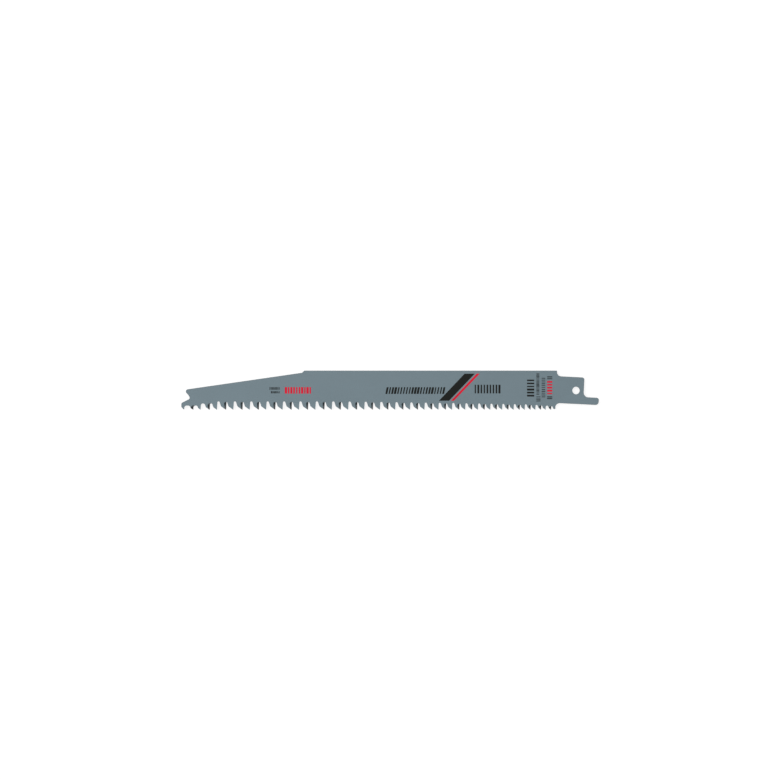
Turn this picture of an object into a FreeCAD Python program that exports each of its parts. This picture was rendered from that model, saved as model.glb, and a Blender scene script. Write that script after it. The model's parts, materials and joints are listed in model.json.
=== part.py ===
import FreeCAD, Part
import math
import os

# Reciprocating saw blade, punched, toothed and set from one strip of flat steel, in millimetres.
# X runs along the blade from its nose to the tail of its shank. Y runs from the teeth up to the
# back. Z runs through the thickness. The origin is the middle of the pin hole, at half thickness.

SIZES = [
    # Strip and body
    ("strip_thickness", 1.25),
    ("body_length", 180.0),        # nose to heel
    ("blade_height", 18.8),        # tooth tips to back
    ("body_offset", 0.12),         # pin hole to the middle of that height
    ("edge_chamfer", 0.15),        # deburred edges of the punched outline
    # Back step and taper towards the nose
    ("step_depth", 1.02),
    ("taper_length", 57.9),        # nose to the foot of the step
    # Nose, with heights above the tooth tips and depths from the nose
    ("nose_height", 9.57),
    ("nose_setback", 1.1),
    ("nose_radius", 1.05),
    ("notch_shoulder_height", 6.95),
    ("notch_shoulder_depth", 3.5),
    ("notch_shoulder_radius", 1.4),
    ("notch_height", 5.4),
    ("notch_depth", 4.3),
    ("notch_radius", 0.85),
    ("hook_height", 3.28),
    ("hook_radius", 0.96),
    ("hook_chamfer", 1.38),
    # Heel and shank, with reaches along the tilted shank and widths across it, both measured
    # from the pin hole
    ("heel_distance", 9.13),
    ("shank_tilt", 2.8),
    ("shank_upper_width", 6.4),
    ("shank_lower_width", 6.44),
    ("shoulder_reach", 3.71),
    ("tail_reach", 11.09),
    ("tail_width", 3.45),
    ("heel_radius_share", 0.79),   # of the step from the shank up to the back
    ("throat_radius_share", 0.63),  # of the step from the shank down to the tooth tips
    ("shoulder_radius", 1.1),
    ("tail_root_radius", 2.2),
    ("tail_upper_radius", 1.0),
    ("tail_lower_radius", 1.55),
    ("pin_hole_diameter", 3.6),
    # Tooth line: an even coarse pitch, then a pitch that narrows tooth by tooth to the heel
    ("coarse_pitch", 3.935),
    ("fine_pitch", 2.33),
    ("graded_teeth", 32),
    ("end_tooth_setback", 0.8),    # heel to the blunt last tooth
    ("end_tooth_overrun", 0.25),   # how far past the tips its corner is before it is rounded
    ("end_tooth_radius", 0.4),
    # Tooth form, with shares of the pitch or of the gullet's depth
    ("gullet_depth_share", 1.03),
    ("lower_gullet_rise", 0.32),   # gullets behind teeth set downwards are that much shallower
    ("coarse_relief_share", 0.6),
    ("fine_relief_share", 0.55),
    ("gullet_crown", 0.06),        # least flat at the top of a gullet, between its two corners
    ("gullet_radius", 1.1),        # largest corner radius, where a gullet is wide enough for it
    ("relief_rise_share", 0.42),
    ("relief_corner_radius", 1.0),
    ("back_lean", 17.3),
    ("rake_lean", 3.5),
    ("nose_gullet_depth", 2.05),
    ("nose_gullet_step", 1.0),     # each pair of gullets is that much deeper
    ("heel_gullet_depth", 2.0),
    ("heel_gullet_step", 0.35),    # the same, going away from the heel
    # Set and grind of the teeth, which go up and down in turn
    ("tooth_set", 0.4),
    ("bend_height_share", 0.74),   # of the pitch, where the gullets have their full depth
    ("bend_radius", 1.0),
    ("bevel_tip_width", 0.5),
    ("bevel_root_width", 1.05),
    ("bevel_run_out", 0.35),       # how far the bevel rises past the top of the gullet
    ("lower_tooth_lead", 0.33),    # the teeth set downwards reach this much further
]

CUTTER_MARGIN = 1.0                # how far a cutting solid runs past the metal
SIDE_MARGIN = 0.1                  # the same, past the two sides of the strip

doc = FreeCAD.newDocument("saw_blade")
sheet = doc.addObject("Spreadsheet::Sheet", "sizes")
for row, (name, value) in enumerate(SIZES, start=1):
    sheet.set("A%d" % row, name)
    sheet.set("B%d" % row, str(value))
    sheet.setAlias("B%d" % row, name)
doc.recompute()


def size(name):
    """The value of one cell of the sheet."""
    return float(sheet.get(name))


THICKNESS = size("strip_thickness")
NOSE_X = -size("heel_distance") - size("body_length")
HEEL_X = -size("heel_distance")
BACK_Y = size("body_offset") + size("blade_height") / 2
TIP_Y = BACK_Y - size("blade_height")
FIRST_TIP_X = NOSE_X + size("hook_chamfer")
LAST_TIP_X = HEEL_X - size("end_tooth_setback")
TAN_RAKE = math.tan(math.radians(size("rake_lean")))
TAN_BACK = math.tan(math.radians(size("back_lean")))


# Outlines

def rounded_edges(corners):
    """Line and arc curves of a closed outline, from corners given as (x, y, corner radius)."""
    vectors = [FreeCAD.Vector(x, y, 0) for x, y, radius in corners]
    starts, ends, middles = [], [], []
    for i, (x, y, radius) in enumerate(corners):
        corner = vectors[i]
        before = (vectors[i - 1] - corner).normalize()
        after = (vectors[(i + 1) % len(corners)] - corner).normalize()
        half_angle = before.getAngle(after) / 2
        reach = radius / math.tan(half_angle)
        bisector = (before + after).normalize() if radius else after
        starts.append(corner + before * reach)
        ends.append(corner + after * reach)
        middles.append(corner + bisector * (radius / math.sin(half_angle) - radius))
    curves = []
    for i, (x, y, radius) in enumerate(corners):
        if radius:
            curves.append(Part.Arc(starts[i], middles[i], ends[i]))
        following = starts[(i + 1) % len(corners)]
        if (following - ends[i]).Length > Part.Precision.confusion():
            curves.append(Part.LineSegment(ends[i], following))
    return curves


def rounded_wire(corners, z):
    """Closed wire, at height z, of an outline with rounded corners."""
    wire = Part.Wire([curve.toShape() for curve in rounded_edges(corners)])
    wire.translate(FreeCAD.Vector(0, 0, z))
    return wire


def on_shank(reach, width):
    """Point at a reach and a width from the pin hole, on the tilted shank."""
    tilt = math.radians(size("shank_tilt"))
    x = reach * math.cos(tilt) + width * math.sin(tilt)
    y = width * math.cos(tilt) - reach * math.sin(tilt)
    return x, y


def shank_edge_at(x, width):
    """Height at x of the shank's long edge that lies at a width from the pin hole."""
    tilt = math.radians(size("shank_tilt"))
    return width / math.cos(tilt) - x * math.tan(tilt)


def throat_height():
    """Step from the tooth tips up to the shank's lower edge, behind the last tooth."""
    return shank_edge_at(LAST_TIP_X, -size("shank_lower_width")) - TIP_Y


def blank_corners():
    """Corners of the punched blank, before its teeth are milled."""
    step_foot_x = NOSE_X + size("taper_length")
    lower_width = -size("shank_lower_width")
    tail_width = lower_width + size("tail_width")
    heel_y = shank_edge_at(HEEL_X, size("shank_upper_width"))
    heel_radius = (BACK_Y - heel_y) * size("heel_radius_share")
    throat_y = TIP_Y + throat_height()
    throat_radius = throat_height() * size("throat_radius_share")
    return [
        (HEEL_X, BACK_Y, 0),
        (step_foot_x + size("step_depth"), BACK_Y, 0),
        (step_foot_x, BACK_Y - size("step_depth"), 0),
        (NOSE_X + size("nose_setback"), TIP_Y + size("nose_height"), size("nose_radius")),
        (NOSE_X + size("notch_shoulder_depth"), TIP_Y + size("notch_shoulder_height"),
         size("notch_shoulder_radius")),
        (NOSE_X + size("notch_depth"), TIP_Y + size("notch_height"), size("notch_radius")),
        (NOSE_X, TIP_Y + size("hook_height"), size("hook_radius")),
        (NOSE_X, TIP_Y + size("hook_chamfer"), 0),
        (FIRST_TIP_X, TIP_Y, 0),
        (LAST_TIP_X, TIP_Y, 0),
        (LAST_TIP_X, throat_y, throat_radius),
        on_shank(size("tail_reach"), lower_width) + (size("tail_lower_radius"),),
        on_shank(size("tail_reach"), tail_width) + (size("tail_upper_radius"),),
        on_shank(size("shoulder_reach"), tail_width) + (size("tail_root_radius"),),
        on_shank(size("shoulder_reach"), size("shank_upper_width")) + (size("shoulder_radius"),),
        (HEEL_X, heel_y, heel_radius),
    ]


# Tooth line

def graded(coarse, fine, grade):
    """Value between the coarse one, at a grade of 1, and the fine one, at a grade of 0."""
    return fine + (coarse - fine) * grade


def tooth_grades():
    """Grade of each gap between two teeth, so that whole teeth fill the toothed length."""
    graded_count = int(size("graded_teeth"))
    falling = [1 - (k + 1) / graded_count for k in range(graded_count)]
    graded_length = sum(graded(size("coarse_pitch"), size("fine_pitch"), g) for g in falling)
    coarse_length = LAST_TIP_X - FIRST_TIP_X - graded_length
    return [1.0] * round(coarse_length / size("coarse_pitch")) + falling


class ToothLine:
    """Places and forms of the teeth. Gap n is the gullet between tooth n and tooth n + 1."""

    def __init__(self):
        self.grades = tooth_grades()
        pitches = [graded(size("coarse_pitch"), size("fine_pitch"), g) for g in self.grades]
        fit = (LAST_TIP_X - FIRST_TIP_X) / sum(pitches)
        self.pitches = [pitch * fit for pitch in pitches]
        self.count = len(self.pitches) + 1

    def side(self, n):
        """Side to which tooth n is set: 1 for up and -1 for down."""
        return 1 if n % 2 == 0 else -1

    def place(self, n):
        """Even place of tooth n."""
        return FIRST_TIP_X + sum(self.pitches[:n])

    def tip(self, n):
        """Place of the cutting edge of tooth n."""
        leads = self.side(n) < 0 and n < self.count - 1
        return self.place(n) + (size("lower_tooth_lead") if leads else 0)

    def full_depth(self, n):
        """Depth that gullet n has by its pitch."""
        return self.pitches[n] * size("gullet_depth_share")

    def body_depth(self, n):
        """Depth of gullet n, which is less in the last ones before the heel."""
        at_heel = (size("heel_gullet_depth")
                   + size("heel_gullet_step") * ((self.count - 2 - n) // 2))
        return min(self.full_depth(n), at_heel)

    def nose_depth(self, n):
        """Depth that the slender nose leaves for gullet n."""
        return size("nose_gullet_depth") + size("nose_gullet_step") * (n // 2)

    def depth(self, n):
        """Depth that the back of tooth n + 1 is cut for."""
        return min(self.body_depth(n), self.nose_depth(n))

    def top(self, n):
        """Height of the top of gullet n above the tips."""
        rise = size("lower_gullet_rise") if self.side(n) < 0 else 0
        return min(self.body_depth(n) - rise, self.nose_depth(n))

    def relief(self, n):
        """Length and rise of the relief behind the tip of tooth n."""
        depth = self.depth(n - 1)
        share = graded(size("coarse_relief_share"), size("fine_relief_share"),
                       self.grades[n - 1])
        length = self.pitches[n - 1] * share * depth / self.full_depth(n - 1)
        return length, depth * size("relief_rise_share")

    def rake_x(self, n, height):
        """Sharp edge of the cutting face of tooth n at a height above the tips."""
        return self.tip(n) + height * TAN_RAKE

    def back_x(self, n, height):
        """Steep back of tooth n at a height above the tips."""
        length, rise = self.relief(n)
        return self.tip(n) - length - (height - rise) * TAN_BACK

    def arch(self, n, share):
        """Corners and corner radius of the arch of gullet n, at a share of the bevel's width."""
        cut_back = size("bevel_root_width") * share
        left_height = self.top(n) + size("bevel_run_out") * share
        left = FreeCAD.Vector(self.rake_x(n, left_height) - cut_back, TIP_Y + left_height, 0)
        right = FreeCAD.Vector(self.back_x(n + 1, self.top(n)), TIP_Y + self.top(n), 0)
        left_foot = FreeCAD.Vector(self.tip(n) - cut_back, TIP_Y, 0)
        right_foot = FreeCAD.Vector(self.back_x(n + 1, 0), TIP_Y, 0)
        half_left = (left_foot - left).getAngle(right - left) / 2
        half_right = (right_foot - right).getAngle(left - right) / 2
        room = (right - left).Length - size("gullet_crown")
        radius = room / (1 / math.tan(half_left) + 1 / math.tan(half_right))
        return left, right, min(radius, size("gullet_radius")), half_left

    def arch_middle(self, n):
        """Place of the middle of the arch of gullet n on the sharp side of its bevel."""
        left, right, radius, half_left = self.arch(n, 0.0)
        return left.x + radius / math.tan(half_left)

    def arch_foot(self, n):
        """Height above the tips of the foot of the arch of gullet n."""
        heights = []
        for share in (0.0, 1.0):
            left, right, radius, half_left = self.arch(n, share)
            heights.append(left.y - TIP_Y - radius / math.tan(half_left))
        return min(heights)

    def root_height(self, n):
        """Height at which tooth n leaves the strip, at the foot of the lower arch beside it."""
        return min(self.arch_foot(n - 1), self.arch_foot(n))

    def bevel(self, n, height):
        """Width of the bevel on the set part of tooth n at a height above the tips."""
        grade = height / self.root_height(n)
        return graded(size("bevel_root_width"), size("bevel_tip_width"), grade)

    def set_angle(self, n):
        """Angle to which tooth n is bent, which gives a tooth of full depth its set."""
        return math.atan(size("tooth_set") / (size("bend_height_share") * self.pitches[n]))


teeth = ToothLine()


def back_foot(n, height):
    """Place of the back of tooth n at a height, on its steep back or on its relief."""
    length, rise = teeth.relief(n)
    if height >= rise:
        return teeth.back_x(n, height)
    return teeth.tip(n) - length * height / rise


def bevel_share(n, z):
    """Share of the bevel's width by which the face of tooth n is cut back at z."""
    return 0.5 - teeth.side(n) * z / THICKNESS


def milled_face_x(n, height, z):
    """Cutting face of tooth n at a height above the tips, where it is part of the flat strip."""
    return teeth.rake_x(n, height) - bevel_share(n, z) * size("bevel_root_width")


def relief_radius(n, height):
    """Radius between the relief and the steep back of tooth n, which has room up to a height."""
    length, rise = teeth.relief(n)
    turn = math.pi / 2 - math.atan(TAN_BACK) - math.atan(rise / length)
    room = (height - rise) / math.cos(math.atan(TAN_BACK))
    return min(size("relief_corner_radius"), room / math.tan(turn / 2))


def end_tooth_side():
    """Height above the tips of the middle of the last tooth's straight end."""
    length, rise = teeth.relief(teeth.count - 1)
    overrun = size("end_tooth_overrun")
    tip_angle = math.atan(length / (rise + overrun))
    above_tip = size("end_tooth_radius") / math.tan(tip_angle / 2) - overrun
    below_throat = throat_height() * (1 - size("throat_radius_share"))
    return (above_tip + below_throat) / 2


def milled_corners(z):
    """Corners at z of the space under the strip: its gullets and the room for the set teeth."""
    floor = TIP_Y - CUTTER_MARGIN
    corners = [(milled_face_x(0, -CUTTER_MARGIN, z), floor, 0)]
    last = teeth.count - 1
    for n in range(last):
        if n > 0:
            height = teeth.root_height(n)
            corners.append((back_foot(n, height), TIP_Y + height, 0))
            corners.append((milled_face_x(n, height, z), TIP_Y + height, 0))
        left, right, radius, half_left = teeth.arch(n, bevel_share(n, z))
        corners.append((left.x, left.y, radius))
        corners.append((right.x, right.y, radius))
    length, rise = teeth.relief(last)
    back_radius = relief_radius(last, teeth.arch_foot(last - 1))
    corners.append((LAST_TIP_X - length, TIP_Y + rise, back_radius))
    corners.append((LAST_TIP_X, TIP_Y - size("end_tooth_overrun"), size("end_tooth_radius")))
    corners.append((LAST_TIP_X, TIP_Y + end_tooth_side(), 0))
    corners.append((LAST_TIP_X + CUTTER_MARGIN, TIP_Y + end_tooth_side(), 0))
    corners.append((LAST_TIP_X + CUTTER_MARGIN, floor, 0))
    return corners


# Blank

def add_sketch(body, name, curves):
    """Sketch on the body's XY plane, lowered to the under side of the strip."""
    plane = [f for f in body.Origin.OriginFeatures if f.Role == "XY_Plane"][0]
    sketch = body.newObject("Sketcher::SketchObject", name)
    sketch.AttachmentSupport = [(plane, "")]
    sketch.MapMode = "FlatFace"
    sketch.setExpression("AttachmentOffset.Base.z", "-sizes.strip_thickness / 2")
    sketch.addGeometry(curves, False)
    doc.recompute()
    return sketch


def long_edges(shape):
    """Names of the edges round both sides of the blank, apart from the straight tooth side."""
    names = []
    for number, edge in enumerate(shape.Edges, start=1):
        across = abs(edge.Vertexes[0].Z - edge.Vertexes[-1].Z) > Part.Precision.confusion()
        middle = edge.valueAt((edge.FirstParameter + edge.LastParameter) / 2)
        on_tooth_side = abs(middle.y - TIP_Y) < Part.Precision.confusion()
        if not across and not on_tooth_side:
            names.append("Edge%d" % number)
    return names


def make_blank():
    """Punched blank with its deburred edges and its pin hole."""
    body = doc.addObject("PartDesign::Body", "blank")
    outline = add_sketch(body, "blank_outline", rounded_edges(blank_corners()))
    pad = body.newObject("PartDesign::Pad", "blank_pad")
    pad.Profile = outline
    pad.setExpression("Length", "sizes.strip_thickness")
    doc.recompute()
    chamfer = body.newObject("PartDesign::Chamfer", "deburred_edges")
    chamfer.Base = (pad, long_edges(pad.Shape))
    chamfer.setExpression("Size", "sizes.edge_chamfer")
    doc.recompute()
    circle = Part.Circle(FreeCAD.Vector(0, 0, 0), FreeCAD.Vector(0, 0, 1),
                         size("pin_hole_diameter") / 2)
    hole_outline = add_sketch(body, "pin_hole_outline", [circle])
    pocket = body.newObject("PartDesign::Pocket", "pin_hole")
    pocket.Profile = hole_outline
    pocket.setExpression("Length", "sizes.strip_thickness")
    pocket.Reversed = True
    doc.recompute()
    return body


# Milled tooth line. The cutting sides of the gullets are ground at a slant, to each face of the
# strip in turn, so the milled space is a ruled solid between its outlines on the two faces.

def make_milled(blank):
    """Blank with its gullets milled, their cutting sides ground, and room made for the teeth."""
    side = THICKNESS / 2 + SIDE_MARGIN
    outlines = [rounded_wire(milled_corners(z), z) for z in (-side, side)]
    space = doc.addObject("Part::Feature", "milled_space")
    space.Shape = Part.makeLoft(outlines, True, True)
    milled = doc.addObject("Part::Cut", "milled_strip")
    milled.Base = blank
    milled.Tool = space
    return milled


# Set teeth. Below its root a tooth is a bent leg of the strip, cut to the tooth's side view and
# ground on its cutting face.

def bent_section(n):
    """Section through tooth n, across the strip: a bend, then a straight leg past the tips."""
    angle = teeth.set_angle(n)
    side = teeth.side(n)
    start = TIP_Y + teeth.root_height(n)
    middle_radius = size("bend_radius") + THICKNESS / 2
    leg = (start - TIP_Y + CUTTER_MARGIN / 2) / math.cos(angle)

    def at(radius, turn, along=0.0):
        """Point at a radius and a turn of the bend, and some way along the leg past it."""
        y = start - radius * math.sin(turn) - along * math.cos(turn)
        z = middle_radius - radius * math.cos(turn) + along * math.sin(turn)
        return FreeCAD.Vector(0, y, side * z)

    inner = size("bend_radius")
    outer = inner + THICKNESS
    edges = [
        Part.Arc(at(inner, 0), at(inner, angle / 2), at(inner, angle)).toShape(),
        Part.LineSegment(at(inner, angle), at(inner, angle, leg)).toShape(),
        Part.LineSegment(at(inner, angle, leg), at(outer, angle, leg)).toShape(),
        Part.LineSegment(at(outer, angle, leg), at(outer, angle)).toShape(),
        Part.Arc(at(outer, angle), at(outer, angle / 2), at(outer, 0)).toShape(),
        Part.LineSegment(at(outer, 0), at(inner, 0)).toShape(),
    ]
    return Part.Face(Part.Wire(edges))


def tooth_corners(n):
    """Corners of tooth n as seen from its side: relief, tip, cutting face and steep back."""
    length, rise = teeth.relief(n)
    height = teeth.root_height(n)
    over = height + CUTTER_MARGIN
    corners = [
        (teeth.tip(n), TIP_Y, 0),
        (teeth.rake_x(n, over), TIP_Y + over, 0),
    ]
    if height <= rise:
        return corners + [(teeth.tip(n) - length * over / rise, TIP_Y + over, 0)]
    corners.append((teeth.back_x(n, over), TIP_Y + over, 0))
    corners.append((teeth.tip(n) - length, TIP_Y + rise, relief_radius(n, height)))
    return corners


def wedge_outline(n, height):
    """Section, at a height, of what the grinding takes off the cutting face of tooth n."""
    side = teeth.side(n)
    lean = side * (teeth.root_height(n) - height) * math.tan(teeth.set_angle(n))
    across = FreeCAD.Vector(teeth.bevel(n, height), 0, side * THICKNESS)
    sharp = FreeCAD.Vector(teeth.rake_x(n, height), TIP_Y + height, lean + side * THICKNESS / 2)
    start = sharp + across
    end = sharp - across * 2
    return Part.makePolygon([start, end, FreeCAD.Vector(start.x, start.y, end.z), start])


def bevel_wedge(n):
    """What the grinding takes off the set part of tooth n."""
    below = -CUTTER_MARGIN / 2
    outlines = [wedge_outline(n, height) for height in (teeth.root_height(n), below)]
    return Part.makeLoft(outlines, True, True)


def set_tooth(n):
    """Tooth n from its bend line down, set to its side and ground."""
    left = teeth.arch_middle(n - 1)
    section = bent_section(n)
    section.translate(FreeCAD.Vector(left, 0, 0))
    leg = section.extrude(FreeCAD.Vector(teeth.arch_middle(n) - left, 0, 0))
    reach = THICKNESS + size("tooth_set")
    outline = Part.Face(rounded_wire(tooth_corners(n), -reach))
    profile = outline.extrude(FreeCAD.Vector(0, 0, 2 * reach))
    return leg.common(profile).cut(bevel_wedge(n))


def make_blade(milled):
    """The whole blade in one piece."""
    row = doc.addObject("Part::Feature", "set_teeth")
    row.Shape = Part.makeCompound([set_tooth(n) for n in range(1, teeth.count - 1)])
    blade = doc.addObject("Part::MultiFuse", "blade")
    blade.Shapes = [milled, row]
    blade.Refine = True
    blade.Label = "blade"
    return blade


blade = make_blade(make_milled(make_blank()))
doc.recompute()

for item in doc.Objects:
    if "Invalid" in item.State or "Error" in item.State:
        raise RuntimeError("%s did not compute" % item.Name)
for part in [blade]:
    shape = part.Shape
    if shape.isNull() or not shape.isValid():
        raise RuntimeError("%s has no valid shape" % part.Label)
    if len(shape.Solids) != 1:
        raise RuntimeError("%s has %d solids instead of one" % (part.Label, len(shape.Solids)))

os.makedirs("parts", exist_ok=True)
for part in [blade]:
    part.Shape.exportStep("parts/%s.step" % part.Label)
    print(part.Label, "volume", round(part.Shape.Volume, 2), "box", part.Shape.BoundBox)
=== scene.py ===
import json
import math

import bmesh
import bpy
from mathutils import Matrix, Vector


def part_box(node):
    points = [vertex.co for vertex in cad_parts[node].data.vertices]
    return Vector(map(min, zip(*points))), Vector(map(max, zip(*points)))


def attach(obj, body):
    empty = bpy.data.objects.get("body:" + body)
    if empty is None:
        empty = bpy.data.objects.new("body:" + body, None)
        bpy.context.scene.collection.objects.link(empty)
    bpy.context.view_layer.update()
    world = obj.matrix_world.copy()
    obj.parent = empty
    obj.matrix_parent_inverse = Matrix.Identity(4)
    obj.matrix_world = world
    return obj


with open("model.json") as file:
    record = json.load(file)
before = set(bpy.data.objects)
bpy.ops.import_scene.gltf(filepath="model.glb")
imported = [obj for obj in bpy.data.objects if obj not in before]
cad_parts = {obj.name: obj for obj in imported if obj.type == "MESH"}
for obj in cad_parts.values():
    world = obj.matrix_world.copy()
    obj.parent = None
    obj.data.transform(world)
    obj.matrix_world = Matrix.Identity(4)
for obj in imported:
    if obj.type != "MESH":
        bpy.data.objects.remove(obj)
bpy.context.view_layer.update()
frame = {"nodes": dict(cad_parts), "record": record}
MM = 0.001


# Camera. The blade is seen flat from straight above, small in the middle of a square picture, so
# the camera looks down its own Z with the blade's back towards the top of the picture.

VIEW_WIDTH = 373.65 * MM
VIEW_CENTRE = (-89.15 * MM, 0.24 * MM)
VIEW_NEAR = 10 * MM
VIEW_FAR = 20.0
LENS = 100.0
SENSOR = 36.0

mounts = {mount["name"]: mount for mount in frame["record"]["mounts"]}
STRIP_TOP = mounts["shank_upper_face"]["pos_m"][2]

camera_data = bpy.data.cameras.new("camera")
camera_data.lens = LENS
camera_data.sensor_width = SENSOR
camera_data.clip_start = VIEW_NEAR
camera_data.clip_end = VIEW_FAR
camera = bpy.data.objects.new("camera", camera_data)
camera.location = (*VIEW_CENTRE, STRIP_TOP + VIEW_WIDTH * LENS / SENSOR)
bpy.context.scene.collection.objects.link(camera)
bpy.context.scene.camera = camera
bpy.context.scene.view_settings.view_transform = "Standard"


# Floor. A matt table top that the blade lies on, at the height of the tips of the teeth that are
# set downwards. Its own colour is grey, so that it keeps the soft shadow under the blade, and a
# glow that is seen but lights nothing lifts it to white.

FLOOR_SIDE = 8.0
FLOOR_COLOUR = (0.3, 0.3, 0.3, 1)
FLOOR_LIFT = 0.79


def node(tree, kind, inputs=None, **settings):
    """New node with its settings, and with its inputs set to values or linked to sockets."""
    made = tree.nodes.new(kind)
    for name, value in settings.items():
        setattr(made, name, value)
    for key, value in (inputs or {}).items():
        if isinstance(value, bpy.types.NodeSocket):
            tree.links.new(value, made.inputs[key])
        else:
            made.inputs[key].default_value = value
    return made


def math_node(tree, operation, *values):
    """Result of a sum on numbers or sockets."""
    return node(tree, "ShaderNodeMath", dict(enumerate(values)), operation=operation).outputs[0]


def seen_directly(tree):
    """1 on rays that go straight to the eye, by a reflection or through glass, and else 0."""
    path = node(tree, "ShaderNodeLightPath")
    mirrored = math_node(tree, "MAXIMUM", path.outputs["Is Glossy Ray"],
                         path.outputs["Is Transmission Ray"])
    return math_node(tree, "MAXIMUM", path.outputs["Is Camera Ray"], mirrored)


def new_material(name):
    """Empty material, its node tree and its output node."""
    made = bpy.data.materials.new(name)
    made.use_nodes = True
    made.node_tree.nodes.clear()
    return made, made.node_tree, node(made.node_tree, "ShaderNodeOutputMaterial")


floor_white, tree, output = new_material("floor_white")
matt = node(tree, "ShaderNodeBsdfDiffuse", {"Color": FLOOR_COLOUR})
lift = node(tree, "ShaderNodeEmission",
            {"Strength": math_node(tree, "MULTIPLY", seen_directly(tree), FLOOR_LIFT)})
both = node(tree, "ShaderNodeAddShader", {0: matt.outputs[0], 1: lift.outputs[0]})
tree.links.new(both.outputs[0], output.inputs["Surface"])

half = FLOOR_SIDE / 2
floor_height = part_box("blade")[0].z
floor_corners = [(-half, -half), (half, -half), (half, half), (-half, half)]
floor_mesh = bpy.data.meshes.new("floor")
floor_mesh.from_pydata([(*corner, floor_height) for corner in floor_corners], [], [(0, 1, 2, 3)])
floor_mesh.materials.append(floor_white)
floor = bpy.data.objects.new("floor", floor_mesh)
bpy.context.scene.collection.objects.link(floor)


# Light. An even white room and one large soft lamp, high on the upper left, together at the
# level at which a colour shows as it is written.

ROOM_LEVEL = 0.66
LAMP_LEVEL = 0.34
LAMP_SIDE = 2.0
LAMP_OFFSET = (-1.6, 0.75, 1.8)

world = bpy.data.worlds.new("room")
world.use_nodes = True
tree = world.node_tree
tree.nodes.clear()
extra = math_node(tree, "MULTIPLY", seen_directly(tree), 1 - ROOM_LEVEL)
room = node(tree, "ShaderNodeBackground",
            {"Color": (1, 1, 1, 1), "Strength": math_node(tree, "ADD", extra, ROOM_LEVEL)})
node(tree, "ShaderNodeOutputWorld", {"Surface": room.outputs[0]})
bpy.context.scene.world = world

# The lamp has the power that lights a level white face at VIEW_CENTRE to LAMP_LEVEL.
lamp_way = Vector(LAMP_OFFSET)
lamp_data = bpy.data.lights.new("soft_lamp", "AREA")
lamp_data.shape = "SQUARE"
lamp_data.size = LAMP_SIDE
lamp_data.energy = LAMP_LEVEL * math.pi ** 2 * lamp_way.length ** 3 / lamp_way.z
lamp = bpy.data.objects.new("soft_lamp", lamp_data)
lamp.location = Vector((*VIEW_CENTRE, 0)) + lamp_way
lamp.rotation_euler = lamp_way.to_track_quat("Z", "Y").to_euler()
bpy.context.scene.collection.objects.link(lamp)


# Blade. One strip of tool steel, punched and milled, with its teeth set to both sides in turn.
# It has a thin satin lacquer, blue-grey, over fine lengthwise rolling marks, with painted shade
# on its sloping edges and side walls. The cutting sides of the teeth were ground afterwards, so
# they are bare and finely scored, and their dark colour is partly bare steel and partly painted
# shade.

LACQUER = (0.146, 0.200, 0.228, 1)
# The next two are darker copies of the lacquer: painted shade on the sloping edges and on the
# side walls.
LACQUER_RIM_PAINTED_SHADE = (0.090, 0.124, 0.142, 1)
LACQUER_WALL_PAINTED_SHADE = (0.120, 0.160, 0.181, 1)
LACQUER_ROUGHNESS = (0.46, 0.58)
LACQUER_COAT = 0.12
COAT_ROUGHNESS = 0.25
METAL_SHARE = 0.25
# The ground faces' colour is bare steel, darkened further as painted shade.
GROUND_STEEL_AND_SHADE = (0.038, 0.051, 0.056)
GROUND_ROUGHNESS = 0.34

# Marks per metre along X, Y and Z, and the darkest and lightest tone that each kind gives, at
# the two ends of MARK_RANGE, which holds most of a noise's values.
ROLLING_MARKS = (250.0, 9000.0, 9000.0)
ROLLING_TONES = (0.975, 1.025)
MILLING_MARKS = (7000.0, 7000.0, 500.0)
MILLING_TONES = (0.8, 1.2)
GRINDING_MARKS = (2500.0, 900.0, 12000.0)
GRINDING_TONES = (0.6, 1.5)
LACQUER_CLOUDS = (70.0, 110.0, 110.0)
CLOUD_TONES = (0.985, 1.015)
LACQUER_PEEL = (2600.0, 2600.0, 2600.0)
PEEL_DETAIL = 1.0
MARK_DETAIL = 3.0
MARK_UNEVENNESS = 0.55
MARK_RANGE = (0.3, 0.7)
GLOSS_RANGE = (0.25, 0.75)
MARK_DEPTH = 0.006 * MM
MARK_STRENGTH = 0.25
PEEL_DEPTH = 0.004 * MM
PEEL_STRENGTH = 0.2

# Where the teeth are, and how the painted shade on their ground sides eases off from the tips
# upwards.
TOOTH_ROOT_Y = -4.6 * MM
TOOTH_END_X = -10.1 * MM
TOOTH_EDGE = 0.1 * MM
TOOTH_TIP_Y = -8.6 * MM
TOOTH_MIDDLE_Y = -6.8 * MM
TIP_SHADE_TONES = (0.2, 1.3)

# Kinds of face, told apart by how far the normal points up or down, or towards the heel. The
# first number is where a kind begins, and the second is where a face is wholly of it.
FLAT_UPRIGHT = (0.93, 0.97)
WALL_UPRIGHT = (0.45, 0.3)
GROUND_LEAST_UPRIGHT = (0.28, 0.42)
GROUND_MOST_UPRIGHT = (0.69, 0.64)
GROUND_HEELWARD = (0.5, 0.72)

blade_lacquer, tree, output = new_material("blade_lacquer")
places = node(tree, "ShaderNodeTexCoord").outputs["Object"]
place = node(tree, "ShaderNodeSeparateXYZ", {0: places})
facing = node(tree, "ShaderNodeSeparateXYZ",
              {0: node(tree, "ShaderNodeNewGeometry").outputs["True Normal"]})


def ramp(tree, value, start, end, low=0.0, high=1.0):
    """A value's smooth step from low, at start, to high, at end."""
    made = node(tree, "ShaderNodeMapRange",
                {"Value": value, "From Min": start, "From Max": end, "To Min": low,
                 "To Max": high}, interpolation_type="SMOOTHSTEP")
    return made.outputs[0]


def all_of(tree, *masks):
    """Product of several masks or tones."""
    product = masks[0]
    for mask in masks[1:]:
        product = math_node(tree, "MULTIPLY", product, mask)
    return product


def mixed(tree, share, first, second):
    """Colour between two, which are inputs 6 and 7 of a mix node."""
    made = node(tree, "ShaderNodeMix", {0: share, 6: first, 7: second}, data_type="RGBA")
    return made.outputs[2]


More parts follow.
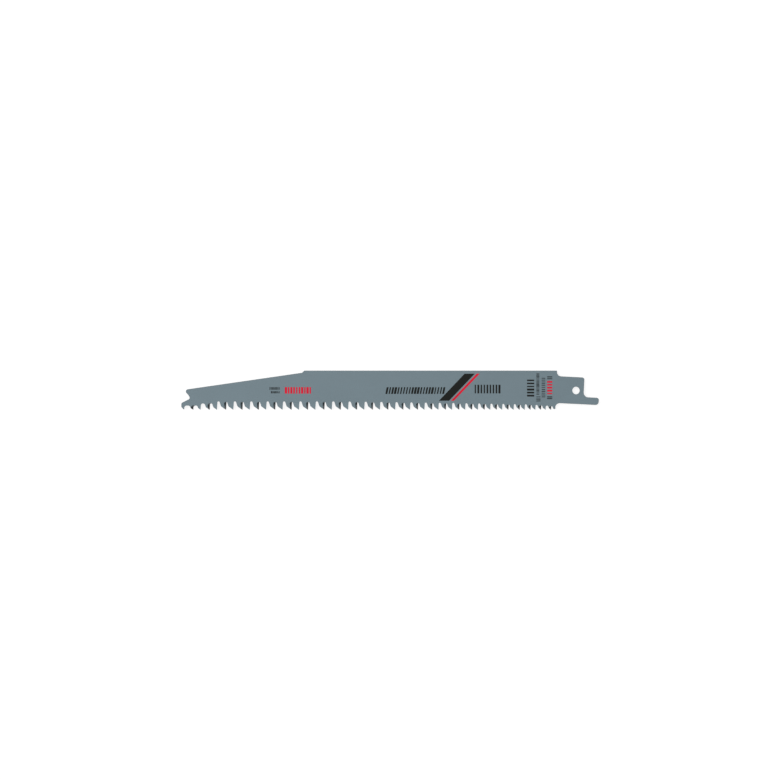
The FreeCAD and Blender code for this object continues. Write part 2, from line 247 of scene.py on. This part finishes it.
def between(tree, share, first, second):
    """Number between two, which are inputs 2 and 3 of a mix node."""
    return node(tree, "ShaderNodeMix", {0: share, 2: first, 3: second}).outputs[0]


def toned(tree, colour, tone):
    """A colour, made lighter or darker by a tone around 1."""
    made = node(tree, "ShaderNodeVectorMath", {0: colour, "Scale": tone}, operation="SCALE")
    return made.outputs[0]


def marks(tree, places, scales, detail=MARK_DETAIL):
    """Fine uneven marks, drawn out along the direction with the smallest scale."""
    drawn = node(tree, "ShaderNodeMapping", {"Vector": places, "Scale": scales})
    made = node(tree, "ShaderNodeTexNoise",
                {"Vector": drawn.outputs[0], "Scale": 1.0, "Detail": detail,
                 "Roughness": MARK_UNEVENNESS})
    return made.outputs[0]


upright = math_node(tree, "ABSOLUTE", facing.outputs["Z"])
in_teeth = all_of(tree, ramp(tree, place.outputs["Y"], TOOTH_ROOT_Y + TOOTH_EDGE, TOOTH_ROOT_Y),
                  ramp(tree, place.outputs["X"], TOOTH_END_X + TOOTH_EDGE, TOOTH_END_X))
ground_and_shade_mask = all_of(tree, in_teeth, ramp(tree, facing.outputs["X"], *GROUND_HEELWARD),
                ramp(tree, upright, *GROUND_LEAST_UPRIGHT),
                ramp(tree, upright, *GROUND_MOST_UPRIGHT))
flat = ramp(tree, upright, *FLAT_UPRIGHT)
wall = ramp(tree, upright, *WALL_UPRIGHT)

rolled = marks(tree, places, ROLLING_MARKS)
milled = marks(tree, places, MILLING_MARKS)
scored = marks(tree, places, GRINDING_MARKS)
cloud = marks(tree, places, LACQUER_CLOUDS)
peel = marks(tree, places, LACQUER_PEEL, detail=PEEL_DETAIL)

# Painted shade: the lacquer is darker on sloping edges and side walls, chosen by which way each
# face points.
rim_painted_shade = mixed(tree, wall, LACQUER_RIM_PAINTED_SHADE, LACQUER_WALL_PAINTED_SHADE)
lacquer_and_painted_shade = mixed(tree, flat, rim_painted_shade, LACQUER)
rolled_tone = ramp(tree, rolled, *MARK_RANGE, *ROLLING_TONES)
cloud_tone = ramp(tree, cloud, *MARK_RANGE, *CLOUD_TONES)
milled_tone = ramp(tree, milled, *MARK_RANGE, *MILLING_TONES)
milled_change = math_node(tree, "SUBTRACT", milled_tone, 1.0)
wall_tone = math_node(tree, "ADD", 1.0, math_node(tree, "MULTIPLY", wall, milled_change))
lacquer_and_painted_shade = toned(tree, lacquer_and_painted_shade, all_of(tree, rolled_tone, cloud_tone, wall_tone))
scored_tone = ramp(tree, scored, *MARK_RANGE, *GRINDING_TONES)
# Painted shade: the ground sides are darkest at the tips and lighter towards the roots.
painted_tip_shade = ramp(tree, place.outputs["Y"], TOOTH_TIP_Y, TOOTH_MIDDLE_Y, *TIP_SHADE_TONES)
# The ground faces: bare steel with its grinding marks, their dark partly painted shade.
ground_and_shade_colour = toned(tree, GROUND_STEEL_AND_SHADE, all_of(tree, scored_tone, painted_tip_shade))
blade_colour = mixed(tree, ground_and_shade_mask, lacquer_and_painted_shade, ground_and_shade_colour)

lacquer_roughness = ramp(tree, rolled, *GLOSS_RANGE, *LACQUER_ROUGHNESS)
ground_change = math_node(tree, "SUBTRACT", GROUND_ROUGHNESS, lacquer_roughness)
roughness = math_node(tree, "ADD", lacquer_roughness,
                      math_node(tree, "MULTIPLY", ground_and_shade_mask, ground_change))

relief = between(tree, ground_and_shade_mask, between(tree, wall, rolled, milled), scored)
marked = node(tree, "ShaderNodeBump",
              {"Strength": MARK_STRENGTH, "Distance": MARK_DEPTH, "Height": relief})
peeled = node(tree, "ShaderNodeBump",
              {"Strength": PEEL_STRENGTH, "Distance": PEEL_DEPTH, "Height": peel,
               "Normal": marked.outputs[0]})
shader = node(tree, "ShaderNodeBsdfPrincipled",
              {"Base Color": blade_colour, "Metallic": METAL_SHARE, "Roughness": roughness,
               "Coat Weight": LACQUER_COAT, "Coat Roughness": COAT_ROUGHNESS,
               "Normal": peeled.outputs[0]})
tree.links.new(shader.outputs[0], output.inputs["Surface"])

blade = frame["nodes"]["blade"]
blade.data.materials.clear()
blade.data.materials.append(blade_lacquer)


# Print. Rows of plain bars in black and red ink, and a broad black and a narrow red stripe that
# slant across the body, screen printed on one side. The ink is a thin film, a hair proud of the
# lacquer.

FILM = 0.03 * MM
FILM_SUNK = 0.006 * MM
WELD = 0.001 * MM
BLACK_INK = (0.0070, 0.0080, 0.0068)
RED_INK = (0.65, 0.010, 0.035)
INK_CLOUDS = (900.0, 900.0, 900.0)
INK_CLOUD_TONES = (0.9, 1.1)
INK_GRAIN_TONES = (0.95, 1.05)
INK_ROUGHNESS = (0.6, 0.75)
INK_SHINE = 0.15
INK_DEPTH = 0.005 * MM
INK_STRENGTH = 0.2
BAR_SLANT = 0.2
STRIPE_SLANT = 0.951
BAR_SPREAD = 0.3
BAR_CORNER = 0.12 * MM
CORNER_POINTS = 3
BLACK_SEED = 11
RED_SEED = 47

# Boxes of the rows on the blade in millimetres, left, right, bottom and top, then the pitch of
# their bars, the bars' share of it, how far they lean, and whether the row runs down the blade.
# A row with a share of 1 is a single stripe.
BLACK_ROWS = [
    (-146.97, -141.85, 0.34, 1.63, 0.62, 0.53, 0.0, False),
    (-146.25, -141.94, -1.39, -0.29, 0.62, 0.66, 0.0, False),
    (-91.26, -62.71, -1.63, 1.58, 1.36, 0.60, BAR_SLANT, False),
    (-59.56, -54.71, -4.9, 8.05, 4.85, 1.0, STRIPE_SLANT, False),
    (-49.0, -36.0, -1.39, 2.78, 1.46, 0.52, 0.0, False),
    (-23.52, -20.07, -3.21, 5.60, 1.42, 0.52, 0.0, True),
    (-19.07, -17.58, -2.16, 8.29, 0.62, 0.56, 0.0, True),
    (-19.07, -17.05, -5.37, -2.68, 0.62, 0.45, 0.0, True),
    (-16.53, -14.75, -3.50, 6.32, 0.86, 0.41, 0.0, True),
    (-13.89, -11.40, 5.17, 6.95, 0.9, 0.46, 0.0, True),
    (-13.89, -11.40, -4.31, -2.68, 0.9, 0.5, 0.0, True),
]
RED_ROWS = [
    (-139.64, -126.71, -1.49, 1.63, 1.3, 0.68, 0.0, False),
    (-53.76, -52.36, -4.9, 8.05, 1.4, 1.0, STRIPE_SLANT, False),
    (-13.89, -11.40, -2.16, 4.84, 1.4, 0.5, 0.0, True),
]

row_tree = bpy.data.node_groups.new("printed_row", "GeometryNodeTree")
ROW_INPUTS = {"Length": "Float", "Height": "Float", "Pitch": "Float", "Bar Share": "Float",
              "Width Spread": "Float", "Lean": "Float", "Film": "Float", "Corner": "Float",
              "Seed": "Int", "Start": "Vector", "Turn": "Vector", "Ink": "Material"}
row_sockets = {name: row_tree.interface.new_socket(
    name=name, in_out="INPUT", socket_type="NodeSocket" + kind).identifier
    for name, kind in ROW_INPUTS.items()}
row_tree.interface.new_socket(name="Row", in_out="OUTPUT", socket_type="NodeSocketGeometry")

# A whole number of bars fills the row's length.
given = node(row_tree, "NodeGroupInput").outputs
wanted = math_node(row_tree, "DIVIDE", given["Length"], given["Pitch"])
count = math_node(row_tree, "MAXIMUM", math_node(row_tree, "ROUND", wanted), 1.0)
step = math_node(row_tree, "DIVIDE", given["Length"], count)
half_step = math_node(row_tree, "MULTIPLY", step, 0.5)
half_height = math_node(row_tree, "MULTIPLY", given["Height"], 0.5)
first = node(row_tree, "ShaderNodeCombineXYZ", {0: half_step, 1: half_height})
onward = node(row_tree, "ShaderNodeCombineXYZ", {0: step})
line = node(row_tree, "GeometryNodeMeshLine",
            {"Count": count, "Start Location": first.outputs[0], "Offset": onward.outputs[0]})

# One bar of the film with round corners, closed on all sides.
outline = node(row_tree, "GeometryNodeCurvePrimitiveQuadrilateral",
               {0: math_node(row_tree, "MULTIPLY", step, given["Bar Share"]),
                1: given["Height"]})
rounded = node(row_tree, "GeometryNodeFilletCurve",
               {"Curve": outline.outputs[0], "Count": CORNER_POINTS, "Radius": given["Corner"],
                "Limit Radius": True}, mode="POLY")
sheet = node(row_tree, "GeometryNodeFillCurve", {0: rounded.outputs[0]}, mode="NGONS")
raised = node(row_tree, "GeometryNodeExtrudeMesh",
              {"Mesh": sheet.outputs[0], "Offset Scale": given["Film"], "Individual": False})
under = node(row_tree, "GeometryNodeFlipFaces", {0: sheet.outputs[0]})
closed = node(row_tree, "GeometryNodeJoinGeometry")
row_tree.links.new(raised.outputs[0], closed.inputs[0])
row_tree.links.new(under.outputs[0], closed.inputs[0])
bar = node(row_tree, "GeometryNodeMergeByDistance",
           {"Geometry": closed.outputs[0], "Distance": WELD})

# The bars get uneven widths, from inputs 2 and 3 and output 1 of a random value, which are its
# plain numbers. They lean about the middle of the row's height and are laid in place.
narrow = math_node(row_tree, "SUBTRACT", 1.0, given["Width Spread"])
wide = math_node(row_tree, "ADD", 1.0, given["Width Spread"])
drawn = node(row_tree, "FunctionNodeRandomValue",
             {2: narrow, 3: wide, "Seed": given["Seed"]}, data_type="FLOAT")
stretch = node(row_tree, "ShaderNodeCombineXYZ", {0: drawn.outputs[1], 1: 1.0, 2: 1.0})
bars = node(row_tree, "GeometryNodeInstanceOnPoints",
            {"Points": line.outputs[0], "Instance": bar.outputs[0],
             "Scale": stretch.outputs[0]})
real = node(row_tree, "GeometryNodeRealizeInstances", {0: bars.outputs[0]})
spot = node(row_tree, "ShaderNodeSeparateXYZ",
            {0: node(row_tree, "GeometryNodeInputPosition").outputs[0]})
above_middle = math_node(row_tree, "SUBTRACT", spot.outputs["Y"], half_height)
shift = node(row_tree, "ShaderNodeCombineXYZ",
             {0: math_node(row_tree, "MULTIPLY", given["Lean"], above_middle)})
leaning = node(row_tree, "GeometryNodeSetPosition",
               {"Geometry": real.outputs[0], "Offset": shift.outputs[0]})
laid = node(row_tree, "GeometryNodeTransform",
            {"Geometry": leaning.outputs[0], "Translation": given["Start"],
             "Rotation": given["Turn"]})
inked = node(row_tree, "GeometryNodeSetMaterial",
             {"Geometry": laid.outputs[0], "Material": given["Ink"]})
node(row_tree, "NodeGroupOutput", {0: inked.outputs[0]})


def ink(name, colour):
    """Screen ink: matt, a little uneven in tone, with the strip's rolling marks in it."""
    made, tree, output = new_material(name)
    places = node(tree, "ShaderNodeTexCoord").outputs["Object"]
    uneven = marks(tree, places, INK_CLOUDS)
    grain = marks(tree, places, ROLLING_MARKS)
    tone = all_of(tree, ramp(tree, uneven, *MARK_RANGE, *INK_CLOUD_TONES),
                  ramp(tree, grain, *MARK_RANGE, *INK_GRAIN_TONES))
    bump = node(tree, "ShaderNodeBump",
                {"Strength": INK_STRENGTH, "Distance": INK_DEPTH, "Height": grain})
    shader = node(tree, "ShaderNodeBsdfPrincipled",
                  {"Base Color": toned(tree, colour, tone),
                   "Roughness": ramp(tree, uneven, *MARK_RANGE, *INK_ROUGHNESS),
                   "Specular IOR Level": INK_SHINE, "Normal": bump.outputs[0]})
    tree.links.new(shader.outputs[0], output.inputs["Surface"])
    return made


def printed_mesh(name, rows, colour, seed):
    """One mesh of several rows of bars in one ink."""
    mesh = bpy.data.meshes.new(name)
    mesh.materials.append(ink(name, colour))
    joined = bmesh.new()
    for number, (left, right, bottom, top, pitch, share, lean, down) in enumerate(rows):
        sides = (top - bottom, right - left) if down else (right - left, top - bottom)
        host = bpy.data.objects.new("row", bpy.data.meshes.new("row"))
        bpy.context.scene.collection.objects.link(host)
        modifier = host.modifiers.new("row", "NODES")
        modifier.node_group = row_tree
        values = {"Length": sides[0] * MM, "Height": sides[1] * MM, "Pitch": pitch * MM,
                  "Bar Share": share, "Width Spread": BAR_SPREAD if share < 1 else 0.0,
                  "Lean": lean, "Film": FILM, "Corner": BAR_CORNER, "Seed": seed + number,
                  "Start": (left * MM, (top if down else bottom) * MM, STRIP_TOP - FILM_SUNK),
                  "Turn": (0.0, 0.0, -math.pi / 2 if down else 0.0),
                  "Ink": mesh.materials[0]}
        for socket, value in values.items():
            modifier[row_sockets[socket]] = value
        evaluated = host.evaluated_get(bpy.context.evaluated_depsgraph_get())
        row = bpy.data.meshes.new_from_object(evaluated)
        joined.from_mesh(row)
        bpy.data.objects.remove(host)
        bpy.data.meshes.remove(row)
    joined.to_mesh(mesh)
    joined.free()
    return mesh


for name, rows, colour, seed in (("black_print", BLACK_ROWS, BLACK_INK, BLACK_SEED),
                                 ("red_print", RED_ROWS, RED_INK, RED_SEED)):
    piece = bpy.data.objects.new(name, printed_mesh(name, rows, colour, seed))
    bpy.context.scene.collection.objects.link(piece)
    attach(piece, "root")
